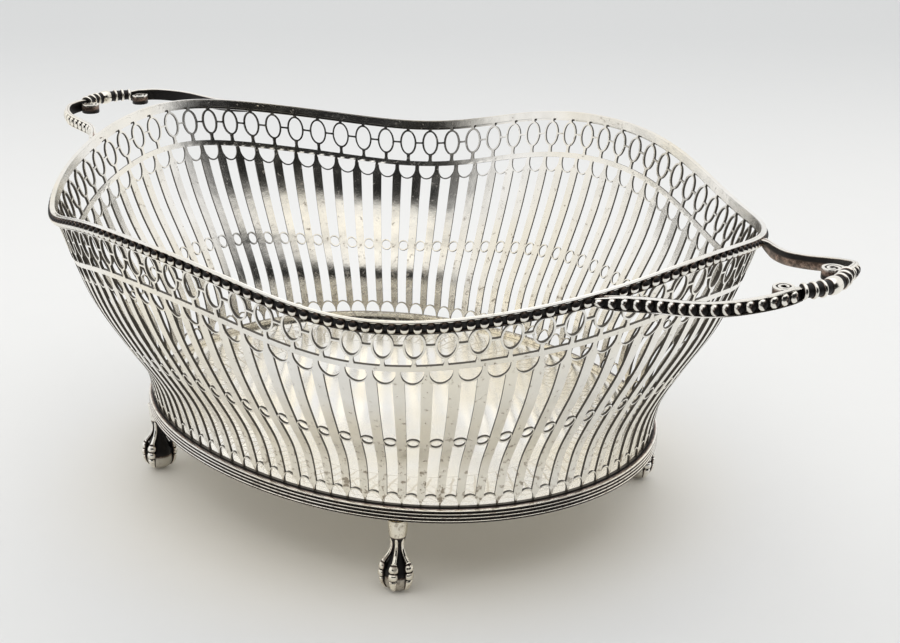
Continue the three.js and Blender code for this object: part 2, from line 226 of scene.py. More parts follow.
def silver(name, look):
    # attribute 0 is bright metal, about a half is brown and mottled tarnish, and 1 is black: real oxide in
    # the deep grooves, painted shade on cut sides, undersides and other places where shade falls
    material, flow = startMaterial(name)
    place = flow.node("TexCoord", None, None, "Object")
    rise = flow.node("SeparateXYZ", None, {"Vector": place}, 2)
    tarnishAndPaintedShade = flow.node("Attribute", {"attribute_name": "tarnishAndPaintedShade"}, None, "Fac")
    cloud = noise(flow, place, look["cloudScale"], 3.0).between(0.35, 0.68)
    haze = noise(flow, place, look["hazeScale"], 4.0).between(0.3, 0.75)
    mottle = noise(flow, place, look["mottleScale"], 4.0, 0.7)
    low = 1 - rise.between(*look["lowZone"])
    spots = noise(flow, place, look["speckScale"], 3.0, 0.65) + look["lowSpecks"] * low
    speck = spots.between(look["speckFrom"], look["speckFrom"] + 0.12) * (0.35 + 0.65 * cloud)
    brown = tarnishAndPaintedShade.between(0.12, 0.5)
    black = (tarnishAndPaintedShade + 0.5 * (mottle - 0.5)).between(0.55, 0.85)
    clean = cloud.mixed(color(*look["bright"]), color(*look["warm"]))
    dulled = (haze * look["haze"]).mixed(clean, color(*look["dull"]))
    spotted = (speck * look["speckAmount"]).mixed(dulled, color(*look["spot"]))
    stain = mottle.between(0.42, 0.62).mixed(color(*look["stainDark"]), color(*look["stainLight"]))
    stained = brown.mixed(spotted, stain)
    shine = black.mixed(stained, color(*look["blackOxideAndShade"]))
    rough = look["rough"] + 0.10 * haze + 0.28 * speck + 0.14 * brown + 0.16 * black
    metal = 1.0 - 0.35 * speck * look["speckAmount"] - 0.25 * brown - 0.25 * black
    dents = noise(flow, place, look["dentScale"], 2.0)
    height = dents + 0.12 * noise(flow, place, look["scratchScale"], 1.0)
    bumps = {"Strength": look["bump"], "Distance": look["dentDepth"], "Height": height}
    bump = flow.node("Bump", None, bumps)
    finishMaterial(flow, {"Base Color": shine, "Metallic": metal, "Roughness": rough, "Normal": bump})
    return material


piercedLook = {
    "bright": (0.95, 0.93, 0.885), "warm": (0.93, 0.875, 0.745), "dull": (0.74, 0.71, 0.645),
    # the pierced finish's recess black is painted shade on cut sides and undersides
    "blackOxideAndShade": (0.085, 0.075, 0.06), "spot": (0.20, 0.135, 0.075),
    "stainDark": (0.10, 0.07, 0.055), "stainLight": (0.42, 0.30, 0.24),
    "haze": 0.3, "hazeScale": 140.0, "cloudScale": 22.0, "mottleScale": 330.0,
    "speckScale": 620.0, "speckFrom": 0.60, "speckAmount": 0.7, "lowSpecks": 0.09, "lowZone": (0.026, 0.056),
    "rough": 0.14, "bump": 0.25, "dentScale": 190.0, "dentDepth": 0.0004, "scratchScale": 2600.0,
}
oxidisedLook = {
    **piercedLook, "blackOxideAndShade": (0.008, 0.0065, 0.006), "speckAmount": 0.4, "rough": 0.10, "bump": 0.12,
}
ballLook = {
    **oxidisedLook, "bright": (0.66, 0.64, 0.58), "warm": (0.55, 0.51, 0.44), "dull": (0.35, 0.32, 0.28),
    "rough": 0.3,
}
polishedLook = {**oxidisedLook, "haze": 0.2, "speckAmount": 0.2}
piercedSilver = silver("piercedSilver", piercedLook)
oxidisedSilver = silver("oxidisedSilver", oxidisedLook)
ballSilver = silver("ballSilver", ballLook)
polishedSilver = silver("polishedSilver", polishedLook)
print("silver finishes made")


# The bowl's surface, the same one that the solids stand on

bowl = {
    "footLevel": 25.6,
    # Rise, half length, half width, squareness in x and in y, wave, rise of the ends, finer wave
    "levels": np.array([
        [0, 80.0, 69.0, 1.8, 2.8, 0, 0, 0],
        [13.2, 83.3, 72.4, 2.2, 1.8, 1.0, 0, 0],
        [24.5, 89.7, 79.2, 2.7, 1.0, 2.8, 0, 0.1],
        [38.7, 98.5, 87.5, 3.6, 1.0, 4.3, 0.3, 0.5],
        [52.4, 104.1, 92.9, 4.4, 1.0, 5.3, 0.5, 0.9],
        [66.4, 108.9, 96.8, 3.8, 1.9, 5.3, 0.6, 1],
    ]),
    # How many times round, and how high, for each part of the finer wave
    "crest": [(0, 0.737), (2, -0.378), (4, -0.259), (6, -0.199), (8, -0.1), (10, 0.312)],
}


def ovalAt(rise):
    # Cubic between each pair of levels, with slopes from the levels on either side of it
    levels = bowl["levels"]
    rises = levels[:, 0]
    last = len(levels) - 1
    low = np.clip(np.searchsorted(rises, rise) - 1, 0, last - 1)
    before = np.maximum(low - 1, 0)
    after = np.minimum(low + 2, last)
    a, b = levels[low], levels[low + 1]
    span = b[..., :1] - a[..., :1]
    slopeA = (b - levels[before]) / (b[..., :1] - levels[before][..., :1])
    slopeB = (levels[after] - a) / (levels[after][..., :1] - a[..., :1])
    s = (np.asarray(rise)[..., None] - a[..., :1]) / span
    return cubic(a, b, span * slopeA, span * slopeB, s)


def sheetPoint(angle, rise):
    # Ellipse with a third harmonic that squares it; its height waves four times round,
    # with the rim's finer wave as a sum of cosines
    angle, rise = spread(angle, rise)
    oval = ovalAt(rise)
    x = oval[..., 1] * np.cos(angle) + oval[..., 3] * np.cos(3 * angle)
    y = oval[..., 2] * np.sin(angle) + oval[..., 4] * np.sin(3 * angle)
    z = bowl["footLevel"] + rise + oval[..., 5] * np.cos(4 * angle) + oval[..., 6] * np.cos(2 * angle)
    z = z + oval[..., 7] * sum(high * np.cos(times * angle) for times, high in bowl["crest"])
    return np.stack([x, y, z], -1)


def wallPoint(angle, rise, depth):
    # The sheet's point moved along the cross product of its two slopes
    angle, rise, depth = spread(angle, rise, depth)
    step = 0.001
    along = sheetPoint(angle + step, rise) - sheetPoint(angle - step, rise)
    up = sheetPoint(angle, rise + step) - sheetPoint(angle, rise - step)
    normal = np.cross(along, up)
    normal /= np.linalg.norm(normal, axis=-1, keepdims=True)
    return sheetPoint(angle, rise) + normal * depth[..., None]


def pitchAt(rise, count):
    oval = ovalAt(np.array(rise))
    return math.pi * float(oval[1] + oval[2]) / count


# Slatted wall: a slat is a strip whose edges follow the openings on both of its sides

wall = {
    "columns": 92, "thickness": 0.74, "foot": -0.4, "seam": 0.02,
    "archFoot": 0.1, "archHalf": 0.465, "archHeight": 3.6,
    "slotHalf": 0.285, "scallopHalf": 0.41, "scallopSide": 0.9, "scallopDrop": 3.3,
    "bandLow": 51.6, "bandTop": 53.15,
    "ringRise": 24.5, "ringHalf": 1.4, "ringOverlap": 0.15,
    "wire": 0.38, "wireThickness": 0.66, "wireRounding": 0.06, "wireSeat": 0.22, "wireSteps": 14,
    # painted shade on the slats' cut sides, and on the outside face near the foot where it meets the ring
    "cutSidePaintedShade": 0.85, "footPaintedShadeTop": 1.0, "footPaintedShadeFade": 0.6,
}


def slatOutline():
    # Half width of the opening, in columns, against rise: an arch, a long slot and a scallop
    w = wall
    archEnd = math.acos(w["slotHalf"] / w["archHalf"])
    scallopEnd = math.acos(w["slotHalf"] / w["scallopHalf"])
    arch = np.linspace(0, archEnd, 7)
    scallop = np.linspace(scallopEnd, 0, 8)
    side = w["bandLow"] - w["scallopSide"]
    archRise = w["archFoot"] + w["seam"] + w["archHeight"] * np.sin(arch)
    scallopRise = side - w["scallopDrop"] * np.sin(scallop)
    straight = np.linspace(archRise[-1], scallopRise[0], 36)[1:-1]
    rise = [[w["foot"], w["archFoot"]], archRise, straight, scallopRise, [w["bandLow"] - w["seam"]]]
    rise.append([w["bandLow"], (w["bandLow"] + w["bandTop"]) / 2, w["bandTop"]])
    half = [[0, 0], w["archHalf"] * np.cos(arch), 0 * straight + w["slotHalf"]]
    half += [w["scallopHalf"] * np.cos(scallop), [w["scallopHalf"]], [0, 0, 0]]
    return np.concatenate(rise), np.concatenate(half)


def slats():
    # Every slat is its outline by five places across, once outside and once inside
    w = wall
    rise, half = slatOutline()
    across = np.linspace(0, 1, 5)
    share = half[:, None] + across[None] * (1 - 2 * half[:, None])
    angle = (np.arange(w["columns"])[:, None, None] + share[None]) / w["columns"] * fullTurn
    rows = rise[None, :, None]
    outside = wallPoint(angle, rows, w["thickness"] / 2)
    inside = wallPoint(angle, rows, -w["thickness"] / 2)
    size = len(rise) * len(across)
    quads = gridQuads(len(rise), len(across))
    number = np.arange(size).reshape(len(rise), len(across))
    isOpen = (half[1:] + half[:-1]) > 0
    left, right, top, foot = number[:, 0], number[:, -1], number[-1], number[0]
    leftCut = np.stack([left[:-1], left[1:], left[1:] + size, left[:-1] + size], -1)[isOpen]
    rightCut = np.stack([right[1:], right[:-1], right[:-1] + size, right[1:] + size], -1)[isOpen]
    topCut = np.stack([top[:-1], top[1:], top[1:] + size, top[:-1] + size], -1)
    footCut = np.stack([foot[1:], foot[:-1], foot[:-1] + size, foot[1:] + size], -1)
    cut = np.concatenate([leftCut, rightCut, topCut[:, ::-1], footCut[:, ::-1]])
    tile = np.concatenate([quads, quads[:, ::-1] + size, cut[:, ::-1]])
    # painted shade on the outside face near the foot, where it meets the ring
    low = np.clip((w["footPaintedShadeTop"] - (rise[1:] + rise[:-1]) / 2) / w["footPaintedShadeFade"], 0, 1)  # outside alone
    face = np.repeat(low, len(across) - 1)
    # painted shade on every cut side of the slats
    shade = np.concatenate([face, 0 * face, np.full(len(cut), w["cutSidePaintedShade"])])
    points = np.stack([outside, inside], 1).reshape(w["columns"], -1, 3)
    steps = np.arange(w["columns"])[:, None, None] * 2 * size
    everyShade = np.repeat(np.tile(shade, w["columns"])[:, None], 4, 1)
    return makePart(points, (tile[None] + steps).reshape(-1, 4), everyShade)


def wallWire(piece, middle, halfWide, halfHigh, start, end, steps):
    # Part of an ellipse on the wall, with a flat wire's section: two widths by two depths
    count, wire = piece["columns"], piece["wire"]
    pitch = pitchAt(middle, count)
    whole = end - start >= fullTurn - 1e-6
    turn = np.linspace(start, end, steps + 1)
    turn = turn[:-1] if whole else turn
    t = piece["wireThickness"] / 2
    edge = t - piece["wireRounding"]
    profile = np.array([[1, edge], [0.78, t], [0.22, t], [0, edge], [0, -t], [1, -t]])
    wide = halfWide + wire * profile[:, 0]
    high = halfHigh + wire * profile[:, 0]
    share = np.cos(turn)[:, None] * wide[None] / pitch
    rise = middle + np.sin(turn)[:, None] * high[None]
    angle = (np.arange(count)[:, None, None] + share[None]) / count * fullTurn
    grid = wallPoint(angle, rise[None], np.broadcast_to(profile[None, None, :, 1], angle.shape))
    if not whole:
        grid = capped(grid)
    # painted shade on the cut sides
    faces = np.array([0.0, 0.0, 0.0, 1.0, 0.0, 1.0])  # the wire's two cut sides are dark
    return tiles(grid, faces, closeRows=whole, closeColumns=True)


def wireReach(rise, half):
    # Half width of an opening in millimetres, and the turn where its wire meets the slat
    w = wall
    pitch = pitchAt(rise, w["columns"])
    wide = half * pitch
    return wide, math.acos((w["slotHalf"] * pitch + w["wireSeat"]) / (wide + w["wire"]))


def scallopWires():
    w = wall
    side = w["bandLow"] - w["scallopSide"]
    wide, reach = wireReach(side, w["scallopHalf"])
    return wallWire(w, side, wide, w["scallopDrop"], math.pi + reach, fullTurn - reach, w["wireSteps"])


def archWires():
    w = wall
    wide, reach = wireReach(w["archFoot"], w["archHalf"])
    return wallWire(w, w["archFoot"], wide, w["archHeight"], reach, math.pi - reach, w["wireSteps"])


def middleWires():
    w = wall
    wide = w["slotHalf"] * pitchAt(w["ringRise"], w["columns"]) + w["ringOverlap"] - w["wire"]
    return wallWire(w, w["ringRise"], wide, w["ringHalf"], 0, fullTurn, 2 * w["wireSteps"])


wallParts = [slats(), scallopWires(), archWires(), middleWires()]
makePiece("slattedWall", wallParts, piercedSilver, ["slatted_wall"])
print("slatted wall made")


# Gallery: upright oval rings on posts, linked at half height, under a plain strip

gallery = {
    "columns": 84, "low": 52.9, "stripLow": 64.1, "rim": 66.35, "thickness": 0.9, "stripSteps": 336,
    "ringMiddle": 59.15, "ringHigh": 4.05, "ringWide": 2.72, "ringSteps": 40,
    "wire": 0.52, "wireThickness": 0.86, "wireRounding": 0.08,
    "postHalf": 0.36, "postFlare": 0.42, "postInset": 0.03, "overlap": 0.1,
    "linkHigh": 0.24, "linkFlare": 0.16, "linkInset": 0.05,
}


def wallPatch(count, share, rise, thickness):
    # Small strip on the wall: rows of (share of a column, rise) with flat front and back
    t = thickness / 2
    columns = share.shape[1]
    loop = np.concatenate([share, share[:, ::-1]], 1)
    rises = np.concatenate([rise, rise[:, ::-1]], 1)
    depth = np.concatenate([np.full(columns, t), np.full(columns, -t)])
    angle = (np.arange(count)[:, None, None] + loop[None]) / count * fullTurn
    grid = wallPoint(angle, rises[None], np.broadcast_to(depth, angle.shape))
    shade = np.zeros(2 * columns)
    # painted shade on the cut sides
    shade[columns - 1] = shade[-1] = 1.0  # the two cut sides
    return tiles(capped(grid), shade, closeColumns=True)


def posts(low, high, flareLow, flareHigh):
    # Half width grows with the cube of the nearness to either end
    g = gallery
    pitch = pitchAt((low + high) / 2, g["columns"])
    s = np.linspace(0, 1, 7)
    half = g["postHalf"] + g["postFlare"] * (flareLow * (1 - s) ** 3 + flareHigh * s ** 3)
    share = half[:, None] / pitch * np.linspace(-1, 1, 3)[None]
    rise = np.broadcast_to((low + (high - low) * s)[:, None], share.shape)
    return wallPatch(g["columns"], share, rise, g["wireThickness"] - g["postInset"])


def links():
    # A bar between two rings, thicker towards its ends
    g = gallery
    pitch = pitchAt(g["ringMiddle"], g["columns"])
    edge = (g["ringWide"] - g["wire"] * 0.6) / pitch
    share = np.linspace(edge, 1 - edge, 7)[:, None] + np.zeros((1, 2))
    half = np.abs(np.linspace(-1, 1, 7))[:, None] ** 3 * g["linkFlare"] + g["linkHigh"]
    rise = g["ringMiddle"] + half * np.array([[1, -1]])
    return wallPatch(g["columns"], share, rise, g["wireThickness"] - g["linkInset"])


def wallLoop(steps, profile, shade):
    # A moulding carried round the wall: a closed profile of (depth, rise), shaded by
    # one value per point of the profile or four per side of it
    angle = onceRound(steps)[:, None]
    grid = wallPoint(angle, profile[None, :, 1], profile[None, :, 0])
    quads = gridQuads(steps, len(profile), True, True)
    return makePart(grid, quads, np.concatenate([shade] * steps))


def galleryStrip():
    # Plain strip above the rings, with painted shade on its underside
    g = gallery
    t = g["thickness"] / 2
    rises = np.linspace(g["stripLow"], g["rim"], 5)
    front = np.stack([0 * rises + t, rises], -1)
    back = np.stack([0 * rises - t, rises[::-1]], -1)
    profile = np.concatenate([front, back])
    shade = np.zeros((len(profile), 4))
    # painted shade on the underside
    shade[-1] = 1.0
    return wallLoop(g["stripSteps"], profile, shade)


g = gallery
ringReach = g["ringHigh"] - g["overlap"]
ringInside = (g["ringWide"] - g["wire"], g["ringHigh"] - g["wire"])
galleryParts = [
    wallWire(g, g["ringMiddle"], *ringInside, 0, fullTurn, g["ringSteps"]),
    posts(g["low"], g["ringMiddle"] - ringReach, 1.0, 0.5),
    posts(g["ringMiddle"] + ringReach, g["stripLow"] + 2 * g["overlap"], 0.5, 1.0),
    links(),
    galleryStrip(),
]
makePiece("ringGallery", galleryParts, piercedSilver, ["gallery"])
print("gallery made")


# Beaded border: a grooved strip round the rim, with pearls in the groove

border = {
    "steps": 420, "beads": 212, "beadAlong": 1.1, "beadHigh": 1.2, "beadOut": 1.0,
    "beadRise": 64.98, "beadDepth": 1.08, "beadRings": 10,
    "beadSides": np.radians([0, 12, 22, 34, 54, 76, 90, 104, 140, 180, 220, 255, 285, 315, 340]),
    # Depth, rise, how oxidised
    "profile": np.array([
        [0.45, 63.50, 0.0], [1.30, 63.50, 0.0], [1.42, 63.60, 0.0], [1.34, 63.74, 0.2],
        [0.78, 63.86, 1.0], [0.75, 65.00, 1.0], [0.78, 66.10, 1.0], [0.90, 66.18, 0.6],
        [0.98, 66.28, 0.0], [1.00, 66.50, 0.0], [0.90, 66.64, 0.0], [0.30, 66.48, 0.0],
        [-0.35, 66.28, 0.0], [-0.47, 66.16, 0.0], [-0.40, 66.04, 0.0], [0.30, 66.1, 0.0],
    ]),
}


def wallBeads():
    # Squat balls: longitude by latitude, with their poles along the rim
    b = border
    longitude = b["beadSides"]
    latitude = np.linspace(-math.pi / 2, math.pi / 2, b["beadRings"])
    ring = np.cos(latitude)[:, None]
    rise = b["beadRise"] + b["beadHigh"] * ring * np.sin(longitude)[None]
    depth = b["beadDepth"] + b["beadOut"] * ring * np.cos(longitude)[None]
    perimeter = pitchAt(b["beadRise"], 1)
    share = b["beadAlong"] * np.sin(latitude)[:, None] / perimeter + 0 * rise
    angle = (np.arange(b["beads"])[:, None, None] / b["beads"] + share[None]) * fullTurn
    grid = wallPoint(angle, rise[None], depth[None])
    # painted shade where the beads sink into the groove
    under = np.clip((b["beadDepth"] + 0.25 - depth) / 0.6, 0, 1)
    facing = np.clip((ring * np.sin(longitude)[None] - 0.22) / 0.12, 0, 1)
    outline = np.clip((ring - 0.3) / 0.2, 0, 1) * (np.sin(longitude)[None] < 0.99)  # all but the crown
    dark = np.maximum(under, facing * outline)  # painted dark reflection of the ledge's underside on their upper halves, and painted shade where they sit in the groove
    return tiles(grid, dark, closeColumns=True)


b = border
borderParts = [wallLoop(b["steps"], b["profile"][:, :2], b["profile"][:, 2]), wallBeads()]
makePiece("beadedBorder", borderParts, oxidisedSilver, ["bead_border"])
print("beaded border made")


# Base ring and plate

base = {
    "low": 21.3, "high": 25.3, "reeds": 4, "reedOut": 1.9, "reedDeep": 0.85, "inside": -1.0, "steps": 368,
    "reedPlaces": np.array([-1, -0.72, -0.45, -0.28, -0.12, 0.05, 0.22, 0.38, 0.55, 0.78, 1]),
    # painted shade inside the ring's foot
    "ledge": 0.2, "ledgeInside": -0.3, "backPaintedShade": 0.4,
    "plateTop": 24.1, "plateThick": 1.0, "plateEdge": -1.1, "plateDish": 0.7, "plateFlat": 0.75,
    "plateRings": 26, "plateSteps": 185,
}


def basePoint(angle, out, height):
    # The foot oval moved outwards on the level
    angle, out, height = spread(angle, out, height)
    point = sheetPoint(angle, 0.0)
    ahead = sheetPoint(angle + 0.001, 0.0) - point
    outwards = np.stack([ahead[..., 1], -ahead[..., 0]], -1)
    outwards /= np.linalg.norm(outwards, axis=-1, keepdims=True)
    flat = point[..., :2] + outwards * out[..., None]
    return np.concatenate([flat, height[..., None]], -1)


def reededRing():
    # Four half round reeds one above the other, with painted shade where they meet and on their lower parts,
    # and a painted highlight above each middle
    s = base
    each = s["reedPlaces"]
    height = (s["high"] - s["low"]) / s["reeds"]
    middles = s["low"] + height * (np.arange(s["reeds"]) + 0.5)
    rises = (middles[:, None] + each[None] * height / 2 * 0.999).ravel()
    swell = np.sqrt(np.clip(1 - np.abs(each) ** 2.2, 0, 1))
    outs = np.tile(s["reedOut"] - s["reedDeep"] * (1 - swell), s["reeds"])
    # painted shade in the grooves and on each reed's lower part, with a painted highlight above its middle
    paintedShade = np.tile(np.clip(np.abs(each - 0.5) * 5.0 - 0.8, 0, 1), s["reeds"])  # bright above the middle
    paintedShade[:2] = 0
    paintedShade[-2:] = 0.1, 0.7
    backOuts = [s["ledge"], s["ledgeInside"], s["inside"], s["inside"]]
    back = np.stack([backOuts, [s["high"], s["high"], s["high"], s["low"]]], -1)
    profile = np.concatenate([np.stack([outs, rises], -1), back])
    # painted shade on the ledge under the wall and inside the ring's foot
    paintedShade = np.concatenate([paintedShade, [1, 0, 0, s["backPaintedShade"]]])
    angle = onceRound(s["steps"])[:, None]
    grid = basePoint(angle, profile[None, :, 0], profile[None, :, 1])
    return makePart(grid, gridQuads(s["steps"], len(profile), True, True), np.tile(paintedShade, s["steps"]))


def plate():
    # Rings from the middle to the edge, slightly dished, with a flat underside
    s = base
    angle = np.linspace(0, fullTurn, s["plateSteps"])[None]
    share = np.linspace(0, 1, s["plateRings"])[:, None]
    edge = basePoint(angle, s["plateEdge"], 0.0)
    climb = np.clip((share - s["plateFlat"]) / (1 - s["plateFlat"]), 0, 1) ** 2
    face = edge * share[..., None]
    face[..., 2] = s["plateTop"] - s["plateDish"] * (1 - climb)
    under = face[::-1].copy()
    under[..., 2] -= s["plateThick"]
    grid = np.concatenate([face, under])
    rows, columns = grid.shape[:2]
    radius = np.concatenate([share, share[::-1]]) + 0 * angle
    uv = np.stack([np.broadcast_to(angle / fullTurn, radius.shape), radius], -1)
    return makePart(grid, gridQuads(rows, columns), 0.0, uv)


engraving = {
    "strokes": 108, "slant": 9.0, "counterSlant": -14.0, "wobble": 0.5, "wobbleScale": 260.0, "hoops": 14.0,
    "bright": (0.94, 0.925, 0.885), "warm": (0.93, 0.885, 0.77), "cut": (0.50, 0.42, 0.28), "cutAmount": 0.5,
    "cloudScale": 30.0, "scuffScale": 500.0, "rough": 0.09, "bump": 0.2, "bumpDepth": 0.0001,
}


def engravedSilver():
    # Polished plate with a border of slanted feathery strokes between two fine lines
    e = engraving
    material, flow = startMaterial("engravedSilver")
    place = flow.node("TexCoord", None, None, "Object")
    layout = flow.node("UVMap", {"uv_map": "layout"})
    across, outward = (flow.node("SeparateXYZ", None, {"Vector": layout}, k) for k in range(2))
    sway = e["wobble"] * noise(flow, place, e["wobbleScale"], 2.0)
    stroke = flow.maths("PINGPONG", across * e["strokes"] + outward * e["slant"] + sway, 0.5)
    lean = flow.maths("PINGPONG", across * e["strokes"] + outward * e["counterSlant"], 0.5)
    band = outward.between(0.70, 0.74) * (1 - outward.between(0.86, 0.90))
    lines = (1 - stroke.between(0.02, 0.16)) * band
    fineBand = outward.between(0.78, 0.80) * (1 - outward.between(0.93, 0.94))
    fine = (1 - lean.between(0.03, 0.08)) * fineBand
    hoop = flow.maths("PINGPONG", outward * e["hoops"] + 0.02, 0.5)
    hoops = (1 - hoop.between(0.02, 0.05)) * outward.between(0.66, 0.68)
    cut = flow.maths("MAXIMUM", flow.maths("MAXIMUM", lines, fine), hoops * 0.6)
    cloud = noise(flow, place, e["cloudScale"], 3.0).between(0.35, 0.7)
    clean = cloud.mixed(color(*e["bright"]), color(*e["warm"]))
    shine = (cut * e["cutAmount"]).mixed(clean, color(*e["cut"]))
    height = noise(flow, place, e["scuffScale"], 3.0) * 0.4 - cut
    bump = flow.node("Bump", None, {"Strength": e["bump"], "Distance": e["bumpDepth"], "Height": height})
    rough = e["rough"] + 0.12 * cloud + 0.12 * cut
    finishMaterial(flow, {"Base Color": shine, "Metallic": 1.0, "Roughness": rough, "Normal": bump})
    return material


makePiece("reededRing", [reededRing()], oxidisedSilver, ["base_ring"])
makePiece("engravedPlate", [plate()], engravedSilver(), ["bottom_plate"])
print("base made")


# Feet: a fluted leg that opens into four knuckled talons round a ball

foot = {
    "angle": math.radians(45.9), "inset": 0.41, "ballRadius": 4.05, "ballSink": 0.2,
    # painted shade on the ball's upper part, under the claw
    "ballRings": 22, "ballSides": 36, "ballShadeFrom": 4.2, "ballShadeFade": 1.4,
    "legHeights": [21.35, 20.6, 19.0, 17.4, 16.2, 15.2, 13.6, 12.0, 10.4, 9.0, 8.0, 7.0, 6.0, 5.2],
    "legRadii": [2.9, 2.75, 2.65, 2.5, 2.3, 1.95, 1.55, 1.6, 2.1, 2.8, 3.35, 3.8, 4.1, 4.08],
    "legSides": 60, "legRings": 60, "bareAbove": 15.8, "bareFade": 0.8,
    "turns": np.radians([-60, 0, 60, 180]), "lean": 0.14, "leanFrom": 15,
    "toeRings": 110, "toeSides": 16, "knuckleTop": 9.2, "knuckleWide": 1.25, "talonWide": 0.9,
    # Distance out, height, half thickness
    "toe": np.array([
        [1.6, 17.2, 0.3], [1.72, 16.4, 0.5], [1.68, 15.2, 0.52], [1.62, 13.9, 0.5], [1.8, 12.6, 0.55],
        [2.4, 11.2, 0.6], [3.2, 10.1, 0.66], [3.75, 9.35, 0.7], [4.0, 8.9, 0.72], [4.12, 8.3, 1.0],
        [4.25, 7.7, 1.1], [4.35, 7.1, 0.98], [4.42, 6.75, 0.66], [4.45, 6.3, 0.98], [4.45, 5.6, 1.1],
        [4.42, 5.0, 0.98], [4.4, 4.6, 0.66], [4.35, 4.1, 0.9], [4.2, 3.2, 0.85], [3.9, 2.3, 0.7],
        [3.4, 1.45, 0.5], [2.75, 0.8, 0.15],
    ]),
}


def smoothRows(values, count):
    # Cubic through evenly numbered values, slopes from their neighbours
    values = np.asarray(values, float)
    flat = values.reshape(len(values), -1)
    slope = np.gradient(flat, axis=0)
    s = np.linspace(0, len(values) - 1, count)
    low = np.minimum(s.astype(int), len(values) - 2)
    t = (s - low)[:, None]
    out = cubic(flat[low], flat[low + 1], slope[low], slope[low + 1], t)
    return out.reshape((count,) + values.shape[1:])


def clawLeg():
    # The leg is turned; a talon is a tube with a thickness per place, wider than it is deep
    f = foot
    heights, radii = (smoothRows(f[k], f["legRings"])[:, None] for k in ("legHeights", "legRadii"))
    turn = onceRound(f["legSides"])[None]
    grid = np.stack([radii * np.cos(turn), radii * np.sin(turn), heights + 0 * turn], -1)
    bare = np.clip((heights - f["bareAbove"]) / f["bareFade"], 0, 1)
    dark = (1 - bare) + 0 * turn
    leg = tube(grid[None], dark)
    path = smoothRows(f["toe"], f["toeRings"])
    line, thick = path[:, :2], path[:, 2]
    ahead = np.gradient(line, axis=0)
    ahead /= np.linalg.norm(ahead, axis=1, keepdims=True)
    low = np.clip((f["leanFrom"] - line[:, 1]) / f["leanFrom"], 0, 1)
    lead = f["turns"][:, None] - f["lean"] * low[None]
    outwards = np.stack([np.cos(lead), np.sin(lead), 0 * lead], -1)[:, :, None]
    across = np.stack([-np.sin(lead), np.cos(lead), 0 * lead], -1)[:, :, None]
    up = np.array([0, 0, 1.0])
    ray = outwards * -ahead[None, :, None, 1:] + up * ahead[None, :, None, :1]
    around = onceRound(f["toeSides"])[None, None, :, None]
    size = thick[None, :, None, None]
    centre = outwards * line[None, :, None, :1] + up * line[None, :, None, 1:]
    wide = np.where(line[:, 1] < f["knuckleTop"], f["knuckleWide"], f["talonWide"])[None, :, None, None]
    grid = centre + across * np.cos(around) * size * wide + ray * np.sin(around) * size
    knuckles = (line[:, 1] < f["knuckleTop"] - 0.1) & (line[:, 1] > 4.5)
    groove = np.clip((0.84 - thick) * 6.0, 0, 1) * knuckles  # the thin places are dark
    # painted shade on the inner side of each talon, facing the ball and leg
    side = np.clip(0.35 - np.sin(around[0, 0, :, 0]), 0, 1) * 2.0
    dark = np.clip(groove[:, None] + side[None], 0, 1)
    return [leg, tube(grid, dark)]


def ball():
    # Latitude from the flat it stands on up to the top
    f = foot
    r = f["ballRadius"]
    polar = np.linspace(math.acos((r - f["ballSink"]) / r), math.pi, f["ballRings"])[:, None]
    turn = onceRound(f["ballSides"])[None]
    x, y = r * np.sin(polar) * np.cos(turn), r * np.sin(polar) * np.sin(turn)
    z = r - f["ballSink"] - r * np.cos(polar) + 0 * turn
    # painted shade on the ball's upper part, under the claw
    dark = np.clip((z - f["ballShadeFrom"]) / f["ballShadeFade"], 0, 1)
    return tube(np.stack([x, y, z], -1)[None], dark)


def placed(part, angle, shift):
    # A part turned about the vertical and moved
    points, quads, shade, uv = part
    c, s = math.cos(angle), math.sin(angle)
    turned = points @ np.array([[c, s, 0], [-s, c, 0], [0, 0, 1]])
    return turned + np.array(shift), quads, shade, uv


for side, x in (("right", 1), ("left", -1)):
    for end, y in (("front", -1), ("back", 1)):
        angle = math.atan2(y * math.sin(foot["angle"]), x * math.cos(foot["angle"]))
        seat = basePoint(angle, -foot["inset"], 0.0)
        outer = basePoint(angle, base["reedOut"], 0.0) - seat
        aim = math.atan2(outer[1], outer[0])
        label, corner = side.title() + end.title(), f"{side}_{end}"
        leg = [placed(part, aim, seat) for part in clawLeg()]
        makePiece("clawLeg" + label, leg, oxidisedSilver, ["claw_leg_" + corner], 60)
        heldBall = [placed(ball(), aim, seat)]
        makePiece("ball" + label, heldBall, ballSilver, ["ball_" + corner], 60)
print("feet made")


# Handles: two beaded ribbons, a ribbed grip and two flat scrolls

